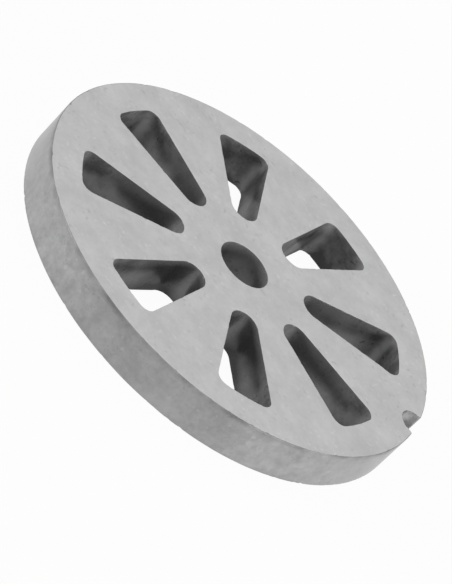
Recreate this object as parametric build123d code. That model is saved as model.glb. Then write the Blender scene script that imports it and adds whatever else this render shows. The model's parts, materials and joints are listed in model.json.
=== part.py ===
from build123d import *
from math import atan2, cos, degrees, radians, sin, sqrt
import os

# Slotted plate of a food grinder, in millimetres. The lower face lies on Z = 0, the bore's
# axis is Z, and +X runs along the centreline of one slot.

# The plate, a flat disc that fills the mouth of the grinder's head.
plate_diameter = 100.0
plate_thickness = 9.9
edge_break = 0.3            # chamfer round the rim and the notch, on both faces

# The centre hole, which runs on the end stud of the feed screw.
bore_diameter = 12.4
bore_break = 0.2            # chamfer at the bore's two mouths

# The slots, alike and evenly spaced. Each has a full-round inner end, straight flanks that
# spread outwards, and an outer end that follows the rim.
slot_count = 8
hub_diameter = 32.0         # solid middle, up to the inner tips of the slots
rim_width = 7.85            # solid ring, from the outer ends of the slots to the rim
slot_end_radius = 3.45
slot_flank_angle = 9.0      # degrees from the slot's centreline to each flank
slot_corner_radius = 2.35

# The notch that drops over the locating pin in the head. It is cut through the whole
# thickness, midway between two slots, and has a half-round bottom.
notch_width = 6.5
notch_depth = 4.0
notch_mouth_radius = 0.6

plate_radius = plate_diameter / 2
slot_pitch = 360 / slot_count


def slot_outline():
    """Outline of the slot whose centreline is +X."""
    inner_tip = hub_diameter / 2
    outer_reach = plate_radius - rim_width
    end_centre = inner_tip + slot_end_radius
    lean = radians(slot_flank_angle)

    # The flank leaves the round end at its tangent point.
    start_x = end_centre - slot_end_radius * sin(lean)
    start_y = slot_end_radius * cos(lean)

    # It ends where its line meets the outer arc. The line passes the axis at flank_offset.
    flank_offset = slot_end_radius - end_centre * sin(lean)
    flank_run = sqrt(outer_reach**2 - flank_offset**2)
    corner_x = flank_run * cos(lean) - flank_offset * sin(lean)
    corner_y = flank_run * sin(lean) + flank_offset * cos(lean)

    round_end = ThreePointArc((start_x, -start_y), (inner_tip, 0), (start_x, start_y))
    left_flank = Line((start_x, start_y), (corner_x, corner_y))
    outer_end = ThreePointArc((corner_x, corner_y), (outer_reach, 0), (corner_x, -corner_y))
    right_flank = Line((corner_x, -corner_y), (start_x, -start_y))
    outline = make_face([round_end, left_flank, outer_end, right_flank])
    outer_corners = outline.vertices().sort_by(Axis.X)[-2:]
    return fillet(outer_corners, slot_corner_radius)


def notched_disc_outline():
    """Outline of the plate from above: the rim, and a notch with rounded mouth corners."""
    round_radius = notch_width / 2
    round_centre = plate_radius - notch_depth + round_radius

    # Each mouth corner is an arc that touches both the rim and the notch's round bottom, so
    # its centre is a known distance from the axis and from the centre of the round bottom.
    from_axis = plate_radius - notch_mouth_radius
    from_round = notch_mouth_radius + round_radius
    mouth_x = (from_axis**2 - from_round**2 + round_centre**2) / (2 * round_centre)
    mouth_y = sqrt(from_axis**2 - mouth_x**2)
    rim_start = degrees(atan2(mouth_y, mouth_x))
    round_start = degrees(atan2(mouth_y, mouth_x - round_centre))
    mouth_sweep = 180 - round_start + rim_start

    rim = CenterArc((0, 0), plate_radius, rim_start, 360 - 2 * rim_start)
    left_mouth = CenterArc((mouth_x, mouth_y), notch_mouth_radius, rim_start, -mouth_sweep)
    round_bottom = CenterArc((round_centre, 0), round_radius, round_start, 360 - 2 * round_start)
    right_mouth = CenterArc((mouth_x, -mouth_y), notch_mouth_radius, -rim_start, mouth_sweep)
    outline = make_face([rim, left_mouth, round_bottom, right_mouth])
    return Rot(0, 0, slot_pitch / 2) * outline


def notched_blank():
    """The plate before its holes, with the edges of both faces broken all round."""
    blank = extrude(notched_disc_outline(), plate_thickness)
    edges_by_height = blank.edges().group_by(Axis.Z)
    return chamfer(edges_by_height[0] + edges_by_height[-1], edge_break)


def bore_cutter():
    """The bore with its two broken mouths, as a turned solid to take away."""
    radius = bore_diameter / 2
    mouth_radius = radius + bore_break
    section = Polyline(
        (0, 0),
        (mouth_radius, 0),
        (radius, bore_break),
        (radius, plate_thickness - bore_break),
        (mouth_radius, plate_thickness),
        (0, plate_thickness),
        close=True,
    )
    return revolve(make_face(Plane.XZ * section), Axis.Z)


def grinder_plate():
    """The whole plate, one solid."""
    slots = PolarLocations(0, slot_count) * extrude(slot_outline(), plate_thickness)
    return notched_blank() - slots - bore_cutter()


os.makedirs("parts", exist_ok=True)
export_step(grinder_plate(), "parts/grinder_plate.step")
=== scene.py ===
"""The looks of a slotted steel grinder plate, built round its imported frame."""

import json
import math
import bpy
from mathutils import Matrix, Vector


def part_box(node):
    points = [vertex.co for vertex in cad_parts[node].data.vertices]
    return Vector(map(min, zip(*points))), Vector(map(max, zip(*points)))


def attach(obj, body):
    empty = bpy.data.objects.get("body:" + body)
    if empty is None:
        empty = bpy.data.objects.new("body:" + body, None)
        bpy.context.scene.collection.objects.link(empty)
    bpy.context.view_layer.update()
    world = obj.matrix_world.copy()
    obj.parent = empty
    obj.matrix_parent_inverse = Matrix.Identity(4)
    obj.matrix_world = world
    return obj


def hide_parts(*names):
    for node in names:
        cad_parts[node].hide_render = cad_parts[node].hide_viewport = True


bl_info = {
    "name": "Grinder plate",
    "version": (1, 0, 0),
    "blender": (4, 5, 0),
    "location": "3D View > Sidebar > Grinder plate",
    "description": "Builds a dull steel grinder plate and the stage that it lies on",
    "category": "Add Mesh",
}

import bmesh
import bpy
from bpy.props import FloatProperty, FloatVectorProperty, IntProperty, PointerProperty
from mathutils import Matrix, Vector, noise

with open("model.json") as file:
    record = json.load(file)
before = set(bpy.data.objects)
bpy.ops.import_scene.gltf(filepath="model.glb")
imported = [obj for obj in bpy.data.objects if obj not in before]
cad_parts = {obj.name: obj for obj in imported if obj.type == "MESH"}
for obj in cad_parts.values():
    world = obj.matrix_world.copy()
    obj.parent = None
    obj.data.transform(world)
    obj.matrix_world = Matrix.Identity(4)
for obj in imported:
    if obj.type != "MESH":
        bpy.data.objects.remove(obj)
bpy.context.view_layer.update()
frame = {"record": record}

MM = 0.001
NODE = "grinder_plate"
LOW, HIGH = (Vector(corner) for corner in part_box(NODE))
PLATE_RADIUS = (HIGH.y - LOW.y) / 2
PLATE_THICKNESS = HIGH.z - LOW.z
MOUNTS = {mount["name"]: mount for mount in frame["record"]["mounts"]}
BORE_RADIUS = MOUNTS["bore"]["dims"]["r_mm"] * MM
NOTCH_RADIUS = MOUNTS["rim_notch"]["dims"]["r_mm"] * MM
NOTCH_CENTRE = Vector(MOUNTS["rim_notch"]["pos_m"][:2])


# ---------------------------------------------------------------- settings


class PlateShape(bpy.types.PropertyGroup):
    """Sizes of the slots, the notch and the worn edges."""

    slot_count: IntProperty(
        name="Slots",
        description="How many slots are spaced round the plate",
        default=8,
        min=2,
    )
    hub_radius: FloatProperty(
        name="Hub radius",
        description="From the axis to the inner tips of the slots",
        default=16.0 * MM,
        unit="LENGTH",
        subtype="DISTANCE",
    )
    slot_reach: FloatProperty(
        name="Slot reach",
        description="From the axis to the outer ends of the slots",
        default=42.15 * MM,
        unit="LENGTH",
        subtype="DISTANCE",
    )
    slot_end_radius: FloatProperty(
        name="Slot end radius",
        description="Radius of the full-round inner end of a slot",
        default=3.45 * MM,
        unit="LENGTH",
        subtype="DISTANCE",
    )
    slot_corner_radius: FloatProperty(
        name="Slot corner radius",
        description="Radius of the two outer corners of a slot",
        default=2.35 * MM,
        unit="LENGTH",
        subtype="DISTANCE",
    )
    slot_flank_angle: FloatProperty(
        name="Slot flank angle",
        description="From the centreline of a slot to each flank",
        default=math.radians(9.0),
        unit="ROTATION",
        subtype="ANGLE",
    )
    notch_mouth_radius: FloatProperty(
        name="Notch mouth radius",
        description="Radius of the two corners where the notch meets the rim",
        default=0.6 * MM,
        unit="LENGTH",
        subtype="DISTANCE",
    )
    rim_edge: FloatProperty(
        name="Rim edge",
        description="Rounding where the faces meet the rim and the notch",
        default=0.2 * MM,
        unit="LENGTH",
        subtype="DISTANCE",
    )
    hole_edge: FloatProperty(
        name="Hole edge",
        description="Rounding where the faces meet the walls of the slots and the bore",
        default=0.14 * MM,
        unit="LENGTH",
        subtype="DISTANCE",
    )
    slot_unevenness: FloatProperty(
        name="Slot unevenness",
        description="How far the rough walls of the slots wander from their outline",
        default=0.07 * MM,
        unit="LENGTH",
        subtype="DISTANCE",
    )
    rim_unevenness: FloatProperty(
        name="Rim unevenness",
        description="Depth of the shallow hollows in the rim",
        default=0.03 * MM,
        unit="LENGTH",
        subtype="DISTANCE",
    )
    mesh_step: FloatProperty(
        name="Mesh step",
        description="Distance between neighbouring points on the walls",
        default=0.45 * MM,
        unit="LENGTH",
        subtype="DISTANCE",
    )


class PlateColours(bpy.types.PropertyGroup):
    """Colours of the steel where it was ground, turned and left rough."""

    face_light: FloatVectorProperty(
        name="Face, light",
        description="Light patches of the ground faces",
        default=(0.55, 0.55, 0.55),
        subtype="COLOR",
    )
    face_dark: FloatVectorProperty(
        name="Face, dark",
        description="Dark patches and specks of the ground faces",
        default=(0.37, 0.37, 0.37),
        subtype="COLOR",
    )
    rim_light: FloatVectorProperty(
        name="Rim, light",
        description="Light patches of the rim",
        default=(0.385, 0.385, 0.385),
        subtype="COLOR",
    )
    rim_dark: FloatVectorProperty(
        name="Rim, dark",
        description="Dark stains of the rim",
        default=(0.18, 0.18, 0.18),
        subtype="COLOR",
    )
    # The walls' painted highlights and painted light reach this light colour.
    wall_light: FloatVectorProperty(
        name="Slot wall, light",
        description="Rubbed stretches of the rough walls inside the slots and the bore",
        default=(0.345, 0.345, 0.345),
        subtype="COLOR",
    )
    # Besides the walls' own dark scale, their painted shade takes this dark colour too.
    wall_dark: FloatVectorProperty(
        name="Slot wall, dark",
        description="Dark scale on the rough walls inside the slots and the bore",
        default=(0.115, 0.115, 0.115),
        subtype="COLOR",
    )
    # The painted highlight on the notch's round bottom takes this colour.
    notch_light: FloatVectorProperty(
        name="Notch, light",
        description="Rubbed bottom of the notch",
        default=(0.56, 0.56, 0.56),
        subtype="COLOR",
    )
    notch_dark: FloatVectorProperty(
        name="Notch, dark",
        description="Sides of the notch",
        default=(0.18, 0.18, 0.18),
        subtype="COLOR",
    )


class StageSettings(bpy.types.PropertyGroup):
    """Camera, floor and lights."""

    camera_distance: FloatProperty(
        name="Camera distance",
        description="From the centre of the upper face to the camera",
        default=673.8 * MM,
        unit="LENGTH",
        subtype="DISTANCE",
    )
    camera_azimuth: FloatProperty(
        name="Camera azimuth",
        description="Direction of the camera from the plate, seen from above",
        default=math.radians(-71.24),
        unit="ROTATION",
        subtype="ANGLE",
    )
    camera_elevation: FloatProperty(
        name="Camera elevation",
        description="Height of the camera above the upper face, as an angle",
        default=math.radians(29.39),
        unit="ROTATION",
        subtype="ANGLE",
    )
    camera_roll: FloatProperty(
        name="Camera roll",
        description="Turn of the camera about its line of sight",
        default=math.radians(44.98),
        unit="ROTATION",
        subtype="ANGLE",
    )
    camera_lens: FloatProperty(
        name="Camera lens",
        description="Focal length for the camera's sensor, in millimetres",
        default=197.36,
    )
    aim: FloatVectorProperty(
        name="Aim",
        description="Point on the upper face at the middle of the camera's view",
        default=(5.59 * MM, -12.58 * MM),
        size=2,
        unit="LENGTH",
        subtype="XYZ",
    )
    floor_size: FloatProperty(
        name="Floor size",
        description="Side of the square floor",
        default=6.0,
        unit="LENGTH",
        subtype="DISTANCE",
    )
    floor_tone: FloatProperty(
        name="Floor tone",
        description="How pale the floor is",
        default=0.8,
    )
    shadow_share: FloatProperty(
        name="Shadow share",
        description="Share of the floor's look that takes the plate's shadow",
        default=0.04,
        subtype="FACTOR",
    )
    room_light: FloatProperty(
        name="Room light",
        description="Even light from all round",
        default=0.35,
    )
    key_power: FloatProperty(
        name="Key light",
        description="Power of the large light overhead",
        default=6.4,
        unit="POWER",
    )
    side_power: FloatProperty(
        name="Side lights",
        description="Power of each of the two lights at the sides",
        default=6.8,
        unit="POWER",
    )


# ---------------------------------------------------------------- outlines


def arc_points(centre, radius, start, end, step):
    """Points along an arc from one angle to another, both ends included."""
    count = max(2, math.ceil(abs(end - start) * radius / step))
    angles = [start + (end - start) * index / count for index in range(count + 1)]
    return [centre + radius * Vector((math.cos(angle), math.sin(angle))) for angle in angles]


def line_points(start, end, step):
    """Points between two ends, neither end included."""
    count = max(1, math.ceil((end - start).length / step))
    return [start.lerp(end, index / count) for index in range(1, count)]


def mirrored_loop(half):
    """A closed loop from its half above the X axis, whose two ends lie on that axis."""
    lower = [Vector((point.x, -point.y)) for point in reversed(half[1:-1])]
    return half + lower


def slot_corner(shape):
    """Centre of the slot's corner arc above the X axis, and the arc's start and end angles."""
    lean = shape.slot_flank_angle
    along = Vector((math.cos(lean), math.sin(lean)))
    across = Vector((-math.sin(lean), math.cos(lean)))
    end_x = shape.hub_radius + shape.slot_end_radius

    # The corner arc touches the outer arc and the flank, so its centre is a known distance
    # from the axis and from the flank's line.
    offset = shape.slot_end_radius - end_x * math.sin(lean) - shape.slot_corner_radius
    orbit = shape.slot_reach - shape.slot_corner_radius
    corner = offset * across + math.sqrt(orbit**2 - offset**2) * along
    return corner, math.atan2(corner.y, corner.x), math.pi / 2 + lean


def slot_loop(shape):
    """Outline of the slot whose centreline is +X, counter-clockwise."""
    step = shape.mesh_step
    corner, corner_angle, flank_angle = slot_corner(shape)
    end_centre = Vector((shape.hub_radius + shape.slot_end_radius, 0))
    outer_arc = arc_points(Vector((0, 0)), shape.slot_reach, 0, corner_angle, step)
    corner_arc = arc_points(corner, shape.slot_corner_radius, corner_angle, flank_angle, step)
    end_arc = arc_points(end_centre, shape.slot_end_radius, flank_angle, math.pi, step)
    flank = line_points(corner_arc[-1], end_arc[0], step)
    return mirrored_loop(outer_arc + corner_arc[1:] + flank + end_arc)


def rim_loop(shape):
    """Outline of the rim with the notch on +X, counter-clockwise."""
    step = shape.mesh_step
    mouth = shape.notch_mouth_radius
    round_centre = Vector((NOTCH_CENTRE.length, 0))

    # Each mouth corner is an arc that touches the rim and the notch's round bottom.
    from_axis = PLATE_RADIUS - mouth
    from_round = NOTCH_RADIUS + mouth
    corner_x = (from_axis**2 - from_round**2 + round_centre.x**2) / (2 * round_centre.x)
    corner = Vector((corner_x, math.sqrt(from_axis**2 - corner_x**2)))
    rim_start = math.atan2(corner.y, corner.x)
    to_corner = corner - round_centre
    round_start = math.atan2(to_corner.y, to_corner.x)

    bottom = arc_points(round_centre, NOTCH_RADIUS, math.pi, round_start, step)
    corner_arc = arc_points(corner, mouth, round_start - math.pi, rim_start, step / 2)
    rim = arc_points(Vector((0, 0)), PLATE_RADIUS, rim_start, math.pi, step)
    return mirrored_loop(bottom + corner_arc[1:] + rim[1:])


def bore_loop(shape):
    """Outline of the bore, counter-clockwise."""
    half = arc_points(Vector((0, 0)), BORE_RADIUS, 0, math.pi, shape.mesh_step)
    return mirrored_loop(half)


def open_side_normals(loop, opens_inwards):
    """For each point, the direction out of the metal and into the open."""
    count = len(loop)
    side = 1 if opens_inwards else -1
    normals = []
    for index in range(count):
        along = loop[(index + 1) % count] - loop[index - 1]
        normals.append(side * Vector((-along.y, along.x)).normalized())
    return normals


# ---------------------------------------------------------------- the plate's mesh


FACE, RIM, SLOT, BORE, NOTCH = range(5)

# Rows of faces that round an edge, and how many of them take the finish of the ground face.
EDGE_ROWS = 4
GROUND_ROWS = 2

# Rows on the upright part of a wall lie this many mesh steps apart, or a little less.
ROW_SPACING = 1.6

# Width of the narrow ring on each face, round every hole, that keeps the face's shading flat.
SUPPORT_WIDTH = 0.12 * MM

# Worn edges: the length over which the wear varies, and the knocks in it.
WEAR_LENGTH = 4 * MM
KNOCK_RATE = 3.2
KNOCK_PLACE = Vector((7, 3, 1))
KNOCK_THRESHOLD = 0.25
LEAST_WEAR = 0.6
WEAR_RANGE = 0.6
KNOCK_DEPTH = 3.6

# Uneven walls: ribs that run from face to face, and lumps.
RIB_WIDTH = 2.6 * MM
RIB_STRETCH = 0.12
RIB_SHARE = 0.25
LUMP_SIZE = 1.7 * MM
LUMP_SHARE = 0.22
LEAST_DEPTH = 0.05

# Each wall takes its noise from a place of its own, this far from the last wall's.
SEED_STEP = 11.3


def falloff(distance, reach):
    """1 at no distance, fading smoothly to 0 past the reach."""
    return math.exp(-((distance / reach) ** 2))


def ramp(value, start, end):
    """0 at the start and 1 at the end, straight between them and held outside."""
    return min(1.0, max(0.0, (value - start) / (end - start)))


def layered_noise(spot, softness, spacing, layers):
    """Noise in layers, each finer than the last by the spacing and fainter by the softness."""
    return noise.fractal(spot, softness, spacing, layers)


class Wall:
    """One upright wall of the plate: its outline, its finish and how its surface wanders."""

    def __init__(self, loop, opens_inwards, edge, unevenness, finish):
        self.loop = loop
        self.normals = open_side_normals(loop, opens_inwards)
        self.edge = edge
        self.unevenness = unevenness
        self.finishes = [finish] * len(loop)
        # Painted light along the wall: above 0 for painted highlights and painted light, below 0
        # for painted shade.
        self.painted_light = [0.0] * len(loop)
        self.smooth = [0.0] * len(loop)
        self.seed = Vector((0, 0, 0))

    def edge_radius(self, index, height):
        """Local rounding of the edge: wear varies slowly, with a few knocks."""
        point = self.loop[index]
        spot = Vector((point.x, point.y, height)) / WEAR_LENGTH + self.seed
        slow = 0.5 + 0.5 * noise.noise(spot)
        knock = max(0.0, noise.noise(KNOCK_RATE * spot + KNOCK_PLACE) - KNOCK_THRESHOLD)
        return self.edge * (LEAST_WEAR + WEAR_RANGE * slow + KNOCK_DEPTH * knock)

    def depth(self, index, height):
        """How far the wall lies behind its outline at a height, never in front of it."""
        point = self.loop[index]
        upright = Vector((point.x, point.y, height * RIB_STRETCH)) / RIB_WIDTH + self.seed
        lumpy = Vector((point.x, point.y, height)) / LUMP_SIZE + self.seed
        ribs = layered_noise(upright, softness=0.6, spacing=2.1, layers=2)
        lumps = layered_noise(lumpy, softness=0.5, spacing=2.2, layers=3)
        level = 0.5 + (RIB_SHARE * ribs + LUMP_SHARE * lumps) * (1 - self.smooth[index])
        return self.unevenness * min(1.0, max(LEAST_DEPTH, level))

    def painted_light_at(self, index, height):
        """How much painted light the wall has at a height, below 0 where it is darkest."""
        return self.painted_light[index]


class RimWall(Wall):
    """The rim with its notch, whose round bottom has a painted highlight below a dark lip."""

    # Whatever lies farther inside the rim than this belongs to the notch.
    notch_margin = 0.3 * MM

    # The notch's dark lip, and the painted highlight behind it, as distances from the nearer face.
    lip_depth = 1.1 * MM
    shine_depth = 2.9 * MM
    shine_width = 1.2 * lip_depth
    painted_spread = 0.7 * NOTCH_RADIUS

    # How light or dark each of them is.
    shine_level = 1.5
    lip_level = -0.9
    deep_level = -0.5

    def __init__(self, shape):
        loop = rim_loop(shape)
        super().__init__(loop, False, shape.rim_edge, shape.rim_unevenness, RIM)
        bottom = loop[0]
        for index, point in enumerate(loop):
            # The painted highlight and the dark lip are strongest at the notch's round bottom.
            self.painted_light[index] = falloff((point - bottom).length, self.painted_spread)
            if point.length < PLATE_RADIUS - self.notch_margin:
                self.finishes[index] = NOTCH

    def painted_light_at(self, index, height):
        """Dark just inside either face, then a painted highlight, then dark again farther in."""
        inside = min(height, PLATE_THICKNESS - height)
        lip = falloff(inside, self.lip_depth)
        shine = falloff(inside - self.shine_depth, self.shine_width)
        deep = ramp(inside, self.lip_depth, self.shine_depth)
        level = self.shine_level * shine + self.lip_level * lip
        return self.painted_light[index] * level + self.deep_level * deep


class SlotWall(Wall):
    """A slot, with painted highlights in its corners and at its smooth tip, and painted light low
    on its flanks.
    """

    # How light the painted highlight at the tip is, how dark the painted shade in the narrow
    # stretch and on the flank by a corner is, and how dark all the rest is.
    tip_level = 1.1
    narrow_level = -0.3
    by_corner_level = -0.2
    even_level = -0.2

    # Places and widths of these, in radii of the corners.
    corner_width = 0.55
    by_corner_place = 1.7
    by_corner_width = 0.9

    # Places and widths of these, in radii of the inner end.
    tip_width = 0.6
    narrow_place = 2.5
    narrow_width = 1.8

    # The slot is smooth near its tip. Places along it run from 0 at the tip to 1 at the corners.
    smoothness = 0.7
    smooth_until = 0.55
    rough_from = 0.8

    # Where the painted light lies low on the flanks, below a painted shadow edge, along the slot
    # and as a share of the thickness.
    flank_light_start = 0.15
    flank_light_full = 0.5
    flank_light_fades = 0.92
    flank_light_end = 1.05
    shadow_edge_height = 0.42
    shadow_edge_rise = 0.26
    shadow_edge_wander = 0.2
    wander_length = 6 * MM
    shadow_edge_softness = 1.0 * MM

    # Strips that stay dark: under the upper face, and at the foot with painted shade.
    lip_depth = 1.4 * MM
    lip_cover = 0.7
    lip_level = -0.25
    foot_height = 3.0 * MM
    foot_full = 0.3 * MM
    foot_level = -0.8

    def __init__(self, shape):
        loop = slot_loop(shape)
        super().__init__(loop, True, shape.hole_edge, shape.slot_unevenness, SLOT)
        centre, start, end = slot_corner(shape)
        middle = (start + end) / 2
        rounding = shape.slot_corner_radius
        tip_rounding = shape.slot_end_radius
        tip = Vector((shape.hub_radius, 0))
        corner = centre + rounding * Vector((math.cos(middle), math.sin(middle)))
        beside = corner - Vector((self.by_corner_place * rounding, 0))
        narrow = shape.hub_radius + self.narrow_place * tip_rounding
        self.flank_light_share = []
        self.shadow_edge = []
        for index, point in enumerate(loop):
            mirrored = Vector((point.x, abs(point.y)))
            in_corner = falloff((mirrored - corner).length, self.corner_width * rounding)
            by_corner = falloff((mirrored - beside).length, self.by_corner_width * rounding)
            at_tip = falloff((point - tip).length, self.tip_width * tip_rounding)
            in_narrow = falloff(point.x - narrow, self.narrow_width * tip_rounding)
            # Painted highlights in the corner and at the tip, and painted shade in the narrow
            # stretch and beside the corner.
            self.painted_light[index] = (
                in_corner
                + self.tip_level * at_tip
                + self.narrow_level * in_narrow
                + self.by_corner_level * by_corner
                + self.even_level
            )
            along = (point.x - tip.x) / (corner.x - tip.x)
            self.smooth[index] = self.smoothness * ramp(along, self.rough_from, self.smooth_until)
            # Painted light low on the flanks, under a painted shadow edge that rises towards the
            # corners.
            starts = ramp(along, self.flank_light_start, self.flank_light_full)
            ends = ramp(along, self.flank_light_end, self.flank_light_fades)
            self.flank_light_share.append(starts * ends)
            self.shadow_edge.append(self.shadow_edge_height + self.shadow_edge_rise * along)

    def painted_light_at(self, index, height):
        """Dark from the top, lighter with painted light below a painted shadow edge, and dark at
        the foot with painted shade.
        """
        point = self.loop[index]
        wander = noise.noise(Vector((point.x, point.y, 0)) / self.wander_length + self.seed)
        # The painted shadow edge, whose height wanders along the wall.
        line = (self.shadow_edge[index] + self.shadow_edge_wander * wander) * PLATE_THICKNESS
        below_line = ramp(height, line + self.shadow_edge_softness, line - self.shadow_edge_softness)
        lip = falloff(PLATE_THICKNESS - height, self.lip_depth)
        # Painted shade at the foot, where the wall meets the floor.
        foot = ramp(height, self.foot_height, self.foot_full)
        painted_light = self.painted_light[index] * (1 - self.lip_cover * lip) + self.lip_level * lip
        return painted_light + self.flank_light_share[index] * below_line + self.foot_level * foot


class BoreWall(Wall):
    """The bore, nearly smooth all round."""

    smoothness = 0.6

    def __init__(self, shape):
        super().__init__(bore_loop(shape), True, shape.hole_edge, shape.rim_unevenness, BORE)
        self.smooth = [self.smoothness] * len(self.loop)


def wall_rows(shape, wall, index):
    """Points of one upright section of a wall, from the lower face to the upper one."""
    point = wall.loop[index]
    normal = wall.normals[index]
    low = wall.edge_radius(index, 0)
    high = wall.edge_radius(index, PLATE_THICKNESS)
    straight = PLATE_THICKNESS - shape.rim_edge * 2
    flat_rows = math.ceil(straight / (ROW_SPACING * shape.mesh_step))
    rows = []
    for step in range(EDGE_ROWS + 1):
        angle = math.pi / 2 * step / EDGE_ROWS
        rows.append((low * (1 - math.sin(angle)), low * (1 - math.cos(angle))))
    for step in range(1, flat_rows):
        rows.append((0, low + (PLATE_THICKNESS - low - high) * step / flat_rows))
    for step in range(EDGE_ROWS + 1):
        angle = math.pi / 2 * (1 - step / EDGE_ROWS)
        rows.append((high * (1 - math.sin(angle)), PLATE_THICKNESS - high * (1 - math.cos(angle))))
    section = []
    for setback, height in rows:
        spot = point - normal * (setback + wall.depth(index, height))
        section.append(Vector((spot.x, spot.y, height)))
    return section


def add_wall(mesh, shape, wall, angle):
    """Adds one wall, turned about the axis, and returns its outlines on the two faces."""
    count = len(wall.loop)
    painted_light = mesh.verts.layers.float["painted_light"]
    smooth = mesh.verts.layers.float["smooth"]
    turn = Matrix.Rotation(angle, 3, "Z")
    sections = []
    for index in range(count):
        section = []
        for spot in wall_rows(shape, wall, index):
            vertex = mesh.verts.new(turn @ spot)
            # Each point carries the wall's painted light and shade for its material.
            vertex[painted_light] = wall.painted_light_at(index, spot.z)
            vertex[smooth] = wall.smooth[index]
            section.append(vertex)
        sections.append(section)
    for index in range(count):
        near, far = sections[index], sections[(index + 1) % count]
        last = len(near) - 1
        for row in range(last):
            face = mesh.faces.new((near[row], far[row], far[row + 1], near[row + 1]))
            on_edge = row < GROUND_ROWS or row >= last - GROUND_ROWS
            is_ground = on_edge and wall.finishes[index] in (SLOT, BORE)
            face.material_index = FACE if is_ground else wall.finishes[index]
    outlines = []
    for row in (0, -1):
        ring = [section[row] for section in sections]
        inner = []
        for index, vertex in enumerate(ring):
            setback = turn @ (wall.normals[index] * SUPPORT_WIDTH).to_3d()
            inner.append(mesh.verts.new(vertex.co - setback))
        for index in range(count):
            after = (index + 1) % count
            mesh.faces.new((ring[index], ring[after], inner[after], inner[index]))
        outlines.append(inner)
    return outlines


def fill_face(mesh, loops):
    """Fills one flat face between the support loops of all the walls."""
    edges = []
    for loop in loops:
        count = len(loop)
        for index in range(count):
            edge = mesh.edges.get((loop[index], loop[(index + 1) % count]))
            edges.append(edge)
    bmesh.ops.triangle_fill(mesh, use_beauty=True, use_dissolve=False, edges=edges)


def plate_mesh(shape):
    """The plate's mesh: walls with worn edges, and two flat faces."""
    mesh = bmesh.new()
    # Layers for the walls' painted light and shade, and for how smooth they are.
    for name in ("painted_light", "smooth"):
        mesh.verts.layers.float.new(name)
    pitch = 2 * math.pi / shape.slot_count
    notch_angle = math.atan2(NOTCH_CENTRE.y, NOTCH_CENTRE.x)
    placed = [(RimWall(shape), notch_angle), (BoreWall(shape), 0)]
    placed += [(SlotWall(shape), index * pitch) for index in range(shape.slot_count)]
    lower_outlines, upper_outlines = [], []
    for number, (wall, angle) in enumerate(placed):
        wall.seed = Vector((0, 0, SEED_STEP * number))
        lower, upper = add_wall(mesh, shape, wall, angle)
        lower_outlines.append(lower)
        upper_outlines.append(upper)
    fill_face(mesh, lower_outlines)
    fill_face(mesh, upper_outlines)
    bmesh.ops.recalc_face_normals(mesh, faces=mesh.faces)
    for face in mesh.faces:
        face.smooth = True
    data = bpy.data.meshes.new("plate_body")
    mesh.to_mesh(data)
    mesh.free()
    return data


# ---------------------------------------------------------------- materials


OIL_ROUGHNESS = 0.35


class Nodes:
    """Short ways to add and join the nodes of one material."""

    def __init__(self, name):
        self.material = bpy.data.materials.new(name)
        self.material.use_nodes = True
        self.tree = self.material.node_tree
        self.tree.nodes.clear()
        self.output = self.add("ShaderNodeOutputMaterial")
        coordinates = self.add("ShaderNodeTexCoord")
        self.place = coordinates.outputs["Object"]

    def add(self, kind, **settings):
        """A new node with its settings."""
        node = self.tree.nodes.new(kind)
        for key, value in settings.items():
            setattr(node, key, value)
        return node

    def join(self, start, end):
        """A link from an output socket to an input socket."""
        self.tree.links.new(start, end)

    def stretched(self, scale):
        """The place on the object, scaled apart along X, Y and Z."""
        mapping = self.add("ShaderNodeMapping")
        mapping.inputs["Scale"].default_value = scale
        self.join(self.place, mapping.inputs["Vector"])
        return mapping.outputs["Vector"]

    def noise(self, size, detail, roughness=0.55, place=None):
        """Cloudy noise whose largest features are about one size across."""
        node = self.add("ShaderNodeTexNoise")
        node.inputs["Scale"].default_value = 1 / size
        node.inputs["Detail"].default_value = detail
        node.inputs["Roughness"].default_value = roughness
        self.join(place or self.place, node.inputs["Vector"])
        return node.outputs["Fac"]

    def remap(self, value, low, high, new_low=0.0, new_high=1.0):
        """A value stretched from one range to another, held within it."""
        node = self.add("ShaderNodeMapRange", clamp=True)
        node.inputs["From Min"].default_value = low
        node.inputs["From Max"].default_value = high
        node.inputs["To Min"].default_value = new_low
        node.inputs["To Max"].default_value = new_high
        self.join(value, node.inputs["Value"])
        return node.outputs["Result"]

    def math(self, operation, first, second):
        """Two values combined, either of which may be a plain number."""
        node = self.add("ShaderNodeMath", operation=operation)
        for socket, value in zip(node.inputs, (first, second)):
            if isinstance(value, (int, float)):
                socket.default_value = value
            else:
                self.join(value, socket)
        return node.outputs["Value"]

    def less(self, value, other, share):
        """A value less a share of another."""
        return self.math("SUBTRACT", value, self.math("MULTIPLY", other, share))

    def plus(self, value, other, share):
        """A value and a share of another."""
        return self.math("ADD", value, self.math("MULTIPLY", other, share))

    def blend(self, share, dark, light):
        """A colour between two, by a share from 0 to 1."""
        node = self.add("ShaderNodeMix", data_type="RGBA")
        self.join(share, node.inputs["Factor"])
        node.inputs["A"].default_value = (*dark, 1)
        node.inputs["B"].default_value = (*light, 1)
        return node.outputs["Result"]

    def bump(self, height, strength, distance):
        """A bump normal from a height."""
        node = self.add("ShaderNodeBump")
        node.inputs["Strength"].default_value = strength
        node.inputs["Distance"].default_value = distance
        self.join(height, node.inputs["Height"])
        return node.outputs["Normal"]

    def shader(self, colour, roughness, normal, metallic, specular=0.5, oil=0.0):
        """The surface itself, with or without a thin film of oil, joined to the output."""
        node = self.add("ShaderNodeBsdfPrincipled")
        node.inputs["Metallic"].default_value = metallic
        node.inputs["Specular IOR Level"].default_value = specular
        node.inputs["Coat Weight"].default_value = oil
        node.inputs["Coat Roughness"].default_value = OIL_ROUGHNESS
        self.join(colour, node.inputs["Base Color"])
        self.join(roughness, node.inputs["Roughness"])
        self.join(normal, node.inputs["Normal"])
        self.join(node.outputs["BSDF"], self.output.inputs["Surface"])
        return self.material


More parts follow.
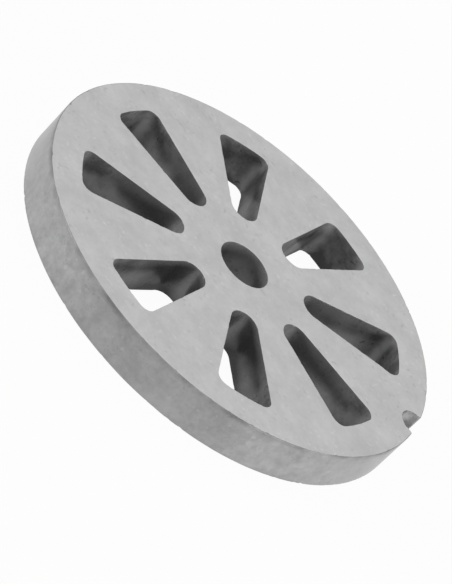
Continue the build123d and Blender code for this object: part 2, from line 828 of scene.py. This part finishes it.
def from_mesh(nodes, name):
    """A value that the points of the plate's own mesh carry, such as their painted light and shade,
    or how smooth they are.
    """
    carried = nodes.add("ShaderNodeAttribute", attribute_name=name)
    return carried.outputs["Fac"]


def specks(nodes, size, cluster_size, amount):
    """Small pits that gather in clusters: 1 in a pit and 0 elsewhere, times an amount."""
    fine = nodes.remap(nodes.noise(size, detail=0.0), low=0.68, high=0.8)
    clusters = nodes.remap(nodes.noise(cluster_size, detail=3.0), low=0.46, high=0.58)
    return nodes.math("MULTIPLY", nodes.math("MULTIPLY", fine, clusters), amount)


def mixed(nodes, first, second, first_share):
    """Two clouds laid over each other by their shares."""
    upper = nodes.math("MULTIPLY", first, first_share)
    return nodes.math("ADD", upper, nodes.math("MULTIPLY", second, 1 - first_share))


def height_band(nodes, low, high):
    """1 above a height on the plate and 0 below another, with a soft change between them."""
    split = nodes.add("ShaderNodeSeparateXYZ")
    nodes.join(nodes.place, split.inputs["Vector"])
    return nodes.remap(split.outputs["Z"], low, high)


def ground_steel(colours):
    """The two faces: ground flat, dull, faintly clouded and lightly pitted."""
    nodes = Nodes("ground_steel")
    clouds = nodes.noise(9 * MM, detail=2.0, roughness=0.5)
    mottle = nodes.noise(2.2 * MM, detail=2.0, roughness=0.5)
    grain = nodes.noise(1.0 * MM, detail=2.0)
    pits = specks(nodes, size=1.2 * MM, cluster_size=8 * MM, amount=0.75)
    bright = specks(nodes, size=1.0 * MM, cluster_size=7 * MM, amount=0.6)
    tone = mixed(nodes, clouds, mottle, first_share=0.55)
    tone = mixed(nodes, tone, grain, first_share=0.8)
    tone = nodes.remap(tone, low=0.35, high=0.65)
    tone = nodes.math("ADD", nodes.math("SUBTRACT", tone, pits), bright)
    tone = nodes.remap(tone, low=-0.6, high=1.2)
    colour = nodes.blend(tone, colours.face_dark, colours.face_light)
    roughness = nodes.remap(mottle, low=0.3, high=0.7, new_low=0.42, new_high=0.52)
    ripple = nodes.math("MULTIPLY", mottle, 0.3)
    height = nodes.math("SUBTRACT", ripple, pits)
    normal = nodes.bump(height, strength=0.2, distance=0.05 * MM)
    return nodes.shader(colour, roughness, normal, metallic=0.4)


def turned_rim(colours):
    """The rim: turned and stained, with a line of painted shade under the upper edge that comes and
    goes.
    """
    nodes = Nodes("turned_rim")
    stains = nodes.noise(7 * MM, detail=3.0, roughness=0.6)
    mottle = nodes.noise(1.8 * MM, detail=3.0, roughness=0.5)
    grain = nodes.noise(0.9 * MM, detail=2.0)
    pits = specks(nodes, size=0.9 * MM, cluster_size=5 * MM, amount=0.45)
    bright = specks(nodes, size=1.1 * MM, cluster_size=6 * MM, amount=0.4)
    # A line of painted shade under the upper edge, stronger in some stretches than in others.
    worn = nodes.noise(11 * MM, detail=2.0)
    worn = nodes.remap(worn, low=0.42, high=0.58, new_low=0.5, new_high=1.6)
    edge_line = height_band(nodes, low=HIGH.z - 1.5 * MM, high=HIGH.z - 0.4 * MM)
    edge_line = nodes.math("MULTIPLY", edge_line, worn)
    upper_strip = height_band(nodes, low=HIGH.z - 4 * MM, high=HIGH.z - 2 * MM)
    tone = mixed(nodes, stains, mottle, first_share=0.6)
    tone = mixed(nodes, tone, grain, first_share=0.85)
    tone = nodes.remap(tone, low=0.33, high=0.67)
    tone = nodes.math("ADD", nodes.math("SUBTRACT", tone, pits), bright)
    tone = nodes.less(tone, edge_line, share=0.3)
    tone = nodes.less(tone, upper_strip, share=0.15)
    tone = nodes.remap(tone, low=-0.5, high=1.3)
    colour = nodes.blend(tone, colours.rim_dark, colours.rim_light)
    rings = nodes.noise(0.35 * MM, detail=2.0, place=nodes.stretched(scale=(0.02, 0.02, 1.0)))
    roughness = nodes.remap(mottle, low=0.3, high=0.7, new_low=0.42, new_high=0.54)
    roughness = nodes.plus(roughness, edge_line, share=0.25)
    height = nodes.math("SUBTRACT", mixed(nodes, mottle, rings, first_share=0.6), pits)
    normal = nodes.bump(height, strength=0.25, distance=0.06 * MM)
    return nodes.shader(colour, roughness, normal, metallic=0.75, oil=0.5)


def rough_wall(name, dark, light, streak_size):
    """Walls inside the holes: dark, streaked from face to face, pitted, with painted highlights,
    painted light and painted shade in places.

    Where the mesh says that a wall is smooth, it is also plainer and glossier.
    """
    nodes = Nodes(name)
    streaks = nodes.noise(streak_size, detail=3.0, place=nodes.stretched(scale=(1.0, 1.0, 0.18)))
    patches = nodes.noise(5 * MM, detail=5.0, roughness=0.6)
    grain = nodes.noise(0.6 * MM, detail=3.0)
    pits = specks(nodes, size=0.9 * MM, cluster_size=4 * MM, amount=0.7)
    smooth = from_mesh(nodes, "smooth")
    rough = nodes.math("SUBTRACT", 1.0, smooth)
    tone = mixed(nodes, streaks, patches, first_share=0.15)
    tone = mixed(nodes, tone, grain, first_share=0.85)
    tone = nodes.remap(tone, low=0.36, high=0.66, new_low=-0.5, new_high=0.5)
    tone = nodes.math("SUBTRACT", tone, pits)
    tone = nodes.math("ADD", nodes.math("MULTIPLY", tone, rough), 0.5)
    # Painted highlights, painted light and painted shade that the mesh carries.
    tone = nodes.plus(tone, from_mesh(nodes, "painted_light"), share=0.8)
    tone = nodes.remap(tone, low=0.0, high=1.2)
    colour = nodes.blend(tone, dark, light)
    roughness = nodes.remap(patches, low=0.3, high=0.7, new_low=0.55, new_high=0.4)
    roughness = nodes.less(roughness, smooth, share=0.3)
    height = nodes.math("SUBTRACT", mixed(nodes, patches, grain, first_share=0.65), pits)
    height = nodes.math("MULTIPLY", height, rough)
    normal = nodes.bump(height, strength=0.4, distance=0.12 * MM)
    return nodes.shader(colour, roughness, normal, metallic=0.26, specular=0.0)


# ---------------------------------------------------------------- the stage


WHITE = (1, 1, 1, 1)

# The background is white for the camera at this strength, whatever light the room gives.
BACKGROUND_STRENGTH = 1.0

# The floor lies a little below the plate, so that the two don't share a plane.
FLOOR_GAP = 0.02 * MM

# The lamps: their directions as the plate sees them, their distances and their sizes.
KEY_ELEVATION = math.radians(62)
KEY_DISTANCE = 1.6
KEY_SIZE = 1.4
SIDE_TURN = math.radians(69)
SIDE_ELEVATION = math.radians(7)
SIDE_DISTANCE = 1.0
SIDE_SIZE = 0.3

# The camera's sensor, and the nearest and farthest that it sees.
SENSOR_WIDTH = 36.0
CLIP_START = 10 * MM
CLIP_END = 100.0


def backdrop_share(nodes):
    """1 for rays that see the background itself: from the camera, off gloss or through glass."""
    path = nodes.add("ShaderNodeLightPath")
    share = nodes.math("MAXIMUM", path.outputs["Is Camera Ray"], path.outputs["Is Glossy Ray"])
    return nodes.math("MAXIMUM", share, path.outputs["Is Transmission Ray"])


def floor_material(stage):
    """A pale floor that shows white, with part of its look left to take shadows."""
    nodes = Nodes("pale_floor")
    matt = nodes.add("ShaderNodeBsdfDiffuse")
    matt.inputs["Color"].default_value = (stage.floor_tone,) * 3 + (1,)
    glow = nodes.add("ShaderNodeEmission")
    glow.inputs["Color"].default_value = WHITE
    glow.inputs["Strength"].default_value = BACKGROUND_STRENGTH
    mix = nodes.add("ShaderNodeMixShader")
    share = nodes.math("MULTIPLY", backdrop_share(nodes), 1 - stage.shadow_share)
    nodes.join(share, mix.inputs["Fac"])
    nodes.join(matt.outputs["BSDF"], mix.inputs[1])
    nodes.join(glow.outputs["Emission"], mix.inputs[2])
    nodes.join(mix.outputs["Shader"], nodes.output.inputs["Surface"])
    return nodes.material


def add_floor(stage):
    """The flat floor that the plate lies on."""
    half = stage.floor_size / 2
    level = LOW.z - FLOOR_GAP
    signs = ((-1, -1), (1, -1), (1, 1), (-1, 1))
    corners = [(x * half, y * half, level) for x, y in signs]
    data = bpy.data.meshes.new("floor")
    data.from_pydata(corners, [], [(0, 1, 2, 3)])
    data.materials.append(floor_material(stage))
    floor = bpy.data.objects.new("floor", data)
    bpy.context.collection.objects.link(floor)


def add_room(stage):
    """Even light from all round, with a white background behind everything."""
    world = bpy.data.worlds.new("room")
    world.use_nodes = True
    tree = world.node_tree
    tree.nodes.clear()
    output = tree.nodes.new("ShaderNodeOutputWorld")
    mix = tree.nodes.new("ShaderNodeMixShader")
    path = tree.nodes.new("ShaderNodeLightPath")
    seen = path.outputs["Is Camera Ray"]
    for name in ("Is Glossy Ray", "Is Transmission Ray"):
        either = tree.nodes.new("ShaderNodeMath")
        either.operation = "MAXIMUM"
        tree.links.new(seen, either.inputs[0])
        tree.links.new(path.outputs[name], either.inputs[1])
        seen = either.outputs["Value"]
    tree.links.new(seen, mix.inputs["Fac"])
    for slot, strength in ((1, stage.room_light), (2, BACKGROUND_STRENGTH)):
        background = tree.nodes.new("ShaderNodeBackground")
        background.inputs["Color"].default_value = WHITE
        background.inputs["Strength"].default_value = strength
        tree.links.new(background.outputs["Background"], mix.inputs[slot])
    tree.links.new(mix.outputs["Shader"], output.inputs["Surface"])
    bpy.context.scene.world = world


def add_lamp(name, place, size, power):
    """A square soft light that faces the plate."""
    data = bpy.data.lights.new(name, "AREA")
    data.shape = "SQUARE"
    data.size = size
    data.energy = power
    lamp = bpy.data.objects.new(name, data)
    lamp.location = place
    lamp.rotation_euler = (-Vector(place)).to_track_quat("-Z", "Y").to_euler()
    bpy.context.collection.objects.link(lamp)


def around(azimuth, elevation, distance):
    """A place round the plate's centre, given as directions and a distance."""
    flat = distance * math.cos(elevation)
    height = distance * math.sin(elevation)
    return Vector((flat * math.cos(azimuth), flat * math.sin(azimuth), height))


def add_lamps(stage):
    """One large light overhead, behind the plate, and one at each side of the camera's view."""
    behind = stage.camera_azimuth + math.pi
    overhead = around(behind, KEY_ELEVATION, KEY_DISTANCE)
    add_lamp("key_light", overhead, KEY_SIZE, stage.key_power)
    for name, side in (("left_light", -1), ("right_light", 1)):
        beside = around(stage.camera_azimuth + side * SIDE_TURN, SIDE_ELEVATION, SIDE_DISTANCE)
        add_lamp(name, beside, SIDE_SIZE, stage.side_power)


def add_camera(stage):
    """The camera, aimed at the upper face and rolled about its line of sight."""
    top_centre = Vector((0, 0, HIGH.z))
    place = top_centre + around(stage.camera_azimuth, stage.camera_elevation, stage.camera_distance)
    target = Vector((stage.aim[0], stage.aim[1], HIGH.z))
    sight = target - place
    upright = sight.to_track_quat("-Z", "Y").to_matrix().to_4x4()
    roll = Matrix.Rotation(stage.camera_roll, 4, "Z")
    data = bpy.data.cameras.new("camera")
    data.sensor_width = SENSOR_WIDTH
    data.lens = stage.camera_lens
    data.clip_start = CLIP_START
    data.clip_end = CLIP_END
    camera = bpy.data.objects.new("camera", data)
    camera.matrix_world = Matrix.Translation(place) @ upright @ roll
    bpy.context.collection.objects.link(camera)
    bpy.context.scene.camera = camera


# ---------------------------------------------------------------- operators and panel


class PLATE_OT_body(bpy.types.Operator):
    """Builds the plate with worn edges and its steel finishes"""

    bl_idname = "grinder_plate.body"
    bl_label = "Build plate"

    def execute(self, context):
        colours = context.scene.plate_colours
        hole_colours = (colours.wall_dark, colours.wall_light)
        notch_colours = (colours.notch_dark, colours.notch_light)
        data = plate_mesh(context.scene.plate_shape)

        # In the order of FACE, RIM, SLOT, BORE and NOTCH.
        data.materials.append(ground_steel(colours))
        data.materials.append(turned_rim(colours))
        data.materials.append(rough_wall("slot_wall", *hole_colours, streak_size=2.6 * MM))
        data.materials.append(rough_wall("bore_wall", *hole_colours, streak_size=1.5 * MM))
        data.materials.append(rough_wall("notch_wall", *notch_colours, streak_size=1.5 * MM))
        plate = bpy.data.objects.new("plate_body", data)
        context.collection.objects.link(plate)
        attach(plate, "root")
        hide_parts(NODE)
        return {"FINISHED"}


class PLATE_OT_stage(bpy.types.Operator):
    """Sets up the floor, the lights and the camera"""

    bl_idname = "grinder_plate.stage"
    bl_label = "Set the stage"

    def execute(self, context):
        stage = context.scene.plate_stage
        add_floor(stage)
        add_room(stage)
        add_lamps(stage)
        add_camera(stage)
        context.scene.view_settings.view_transform = "Standard"
        return {"FINISHED"}


class PLATE_PT_panel(bpy.types.Panel):
    """Lists the plate's settings and the steps that build it"""

    bl_idname = "PLATE_PT_panel"
    bl_label = "Grinder plate"
    bl_space_type = "VIEW_3D"
    bl_region_type = "UI"
    bl_category = "Grinder plate"

    def draw(self, context):
        layout = self.layout
        for group in (context.scene.plate_shape, context.scene.plate_colours):
            for name in group.__annotations__:
                layout.prop(group, name)
        layout.operator(PLATE_OT_body.bl_idname)
        for name in context.scene.plate_stage.__annotations__:
            layout.prop(context.scene.plate_stage, name)
        layout.operator(PLATE_OT_stage.bl_idname)


CLASSES = (PlateShape, PlateColours, StageSettings, PLATE_OT_body, PLATE_OT_stage, PLATE_PT_panel)


def register():
    for item in CLASSES:
        bpy.utils.register_class(item)
    bpy.types.Scene.plate_shape = PointerProperty(type=PlateShape)
    bpy.types.Scene.plate_colours = PointerProperty(type=PlateColours)
    bpy.types.Scene.plate_stage = PointerProperty(type=StageSettings)


def unregister():
    del bpy.types.Scene.plate_stage
    del bpy.types.Scene.plate_colours
    del bpy.types.Scene.plate_shape
    for item in reversed(CLASSES):
        bpy.utils.unregister_class(item)


def main():
    """Builds the plate, then the stage round it."""
    register()
    bpy.ops.grinder_plate.body()
    bpy.ops.grinder_plate.stage()


if __name__ == "__main__":
    main()
